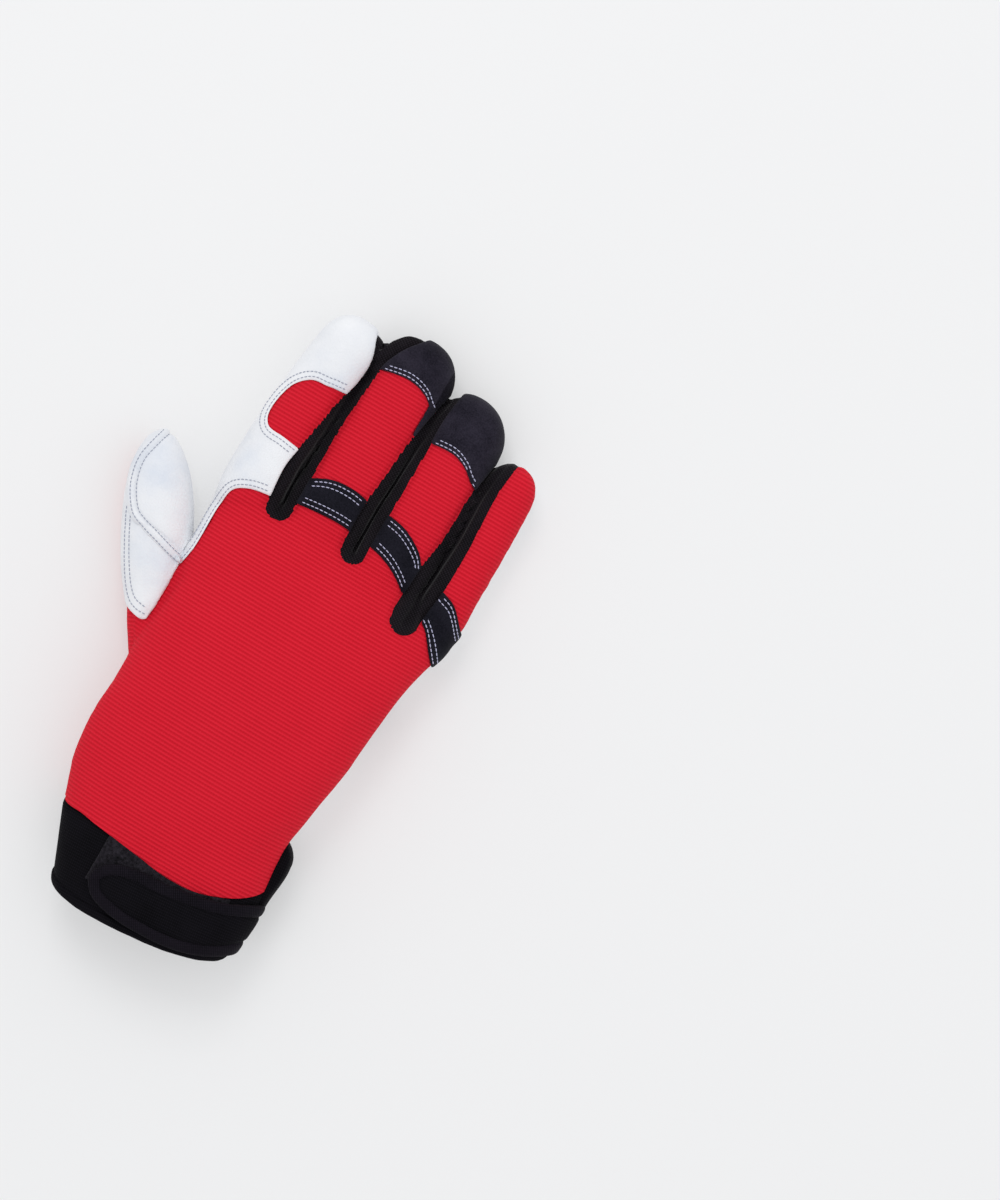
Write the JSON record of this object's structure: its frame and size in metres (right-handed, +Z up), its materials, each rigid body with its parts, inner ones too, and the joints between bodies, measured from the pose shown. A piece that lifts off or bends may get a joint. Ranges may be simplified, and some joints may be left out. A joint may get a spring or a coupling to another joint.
{
  "type": "mechanic glove",
  "caption": "Right-hand work glove with a knit back, leather palm, padded patches, finger strips and a hook-and-loop wrist strap, lying palm down.",
  "frame": {"origin": "on the floor under the middle of the glove's box", "axes": "+Y towards the fingertips, +X towards the little finger, +Z up out of the back of the hand"},
  "size_m": [0.1446, 0.2486, 0.0405],
  "materials": {
    "red_knit": "matte ribbed stretch knit",
    "white_leather": "soft grain goatskin, satin",
    "black_suede": "matte synthetic suede",
    "black_stretch": "soft stretch cloth",
    "black_elastic": "woven elastic",
    "loop_pile": "fuzzy loop pile"
  },
  "bodies": {
    "root": {"back_panel": "red_knit", "palm_panel": "white_leather", "thumb_back": "red_knit", "fourchette_index_middle": "black_stretch", "fourchette_middle_ring": "black_stretch", "fourchette_ring_little": "black_stretch", "index_cover": "white_leather", "thumb_tip_patch": "white_leather", "thumb_saddle_patch": "white_leather", "fingertip_cap_middle": "black_suede", "fingertip_cap_ring": "black_suede", "knuckle_band_middle": "black_suede", "knuckle_band_ring": "black_suede", "knuckle_band_little": "black_suede", "palm_patch_fingers": "black_suede", "palm_patch_heel": "black_suede", "cuff": "black_elastic", "cuff_binding": "black_elastic", "loop_patch": "loop_pile", "wrist_strap": "black_elastic", "side_tab": "black_elastic"}
  },
  "joints": []
}
